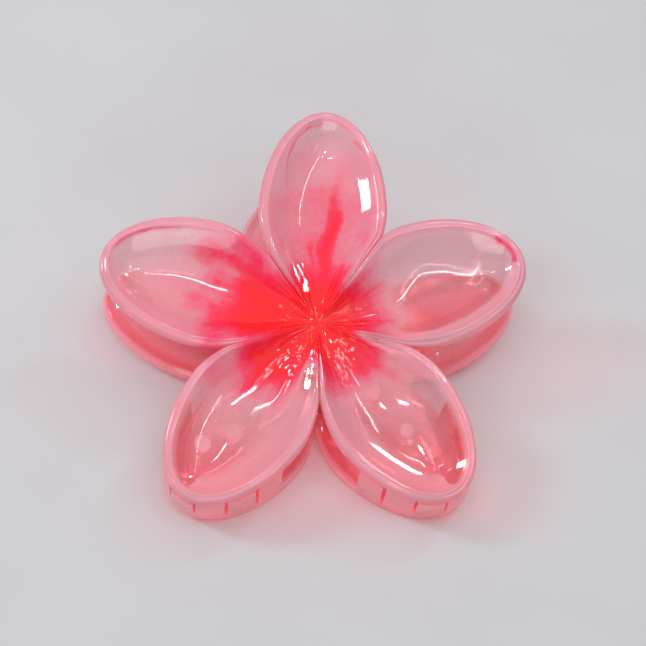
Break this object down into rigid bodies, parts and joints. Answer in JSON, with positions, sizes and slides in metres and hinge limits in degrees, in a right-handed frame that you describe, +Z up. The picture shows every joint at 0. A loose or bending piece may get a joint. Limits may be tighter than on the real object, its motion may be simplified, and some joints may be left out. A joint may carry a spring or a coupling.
{
  "type": "flower hair clip",
  "caption": "Translucent pink flower claw clip for hair: mirrored petal jaws with interlocking teeth on their lower petals, hinged on a steel pin and closed by a torsion spring",
  "frame": {"origin": "middle of the clip's outline on the surface that it lies on", "axes": "+X towards the clip's right along the hinge pin, +Y towards the top petals that are squeezed, +Z up and out of the front flower; the clip lies on its back flower"},
  "size_m": [0.0798, 0.0774, 0.0297],
  "materials": {
    "petal_plastic": "clear pink jelly plastic, high gloss",
    "centre_plastic": "opaque red colour sprayed on glossy plastic",
    "spring_steel": "drawn spring wire",
    "pin_steel": "bright steel pin with domed ends"
  },
  "bodies": {
    "back_jaw": {"back_petal_top": "petal_plastic", "back_petal_upper_left": "petal_plastic", "back_petal_lower_left": "petal_plastic", "back_petal_lower_right": "petal_plastic", "back_petal_upper_right": "petal_plastic", "back_centre": "centre_plastic", "back_hinge_lugs": "petal_plastic", "torsion_spring": "spring_steel", "hinge_pin": "pin_steel"},
    "front_jaw": {"front_petal_top": "petal_plastic", "front_petal_upper_left": "petal_plastic", "front_petal_lower_left": "petal_plastic", "front_petal_lower_right": "petal_plastic", "front_petal_upper_right": "petal_plastic", "front_centre": "centre_plastic", "front_hinge_lugs": "petal_plastic"}
  },
  "joints": [
    {"name": "jaw_hinge", "type": "hinge", "parent": "back_jaw", "child": "front_jaw", "pos_m": [0, 0.00096, 0.01021], "axis": [-1, 0, 0], "range_deg": [0, 34], "stiffness_Nm_per_rad": 0.3, "springref_deg": -20.05, "deforming": ["torsion_spring"]}
  ]
}
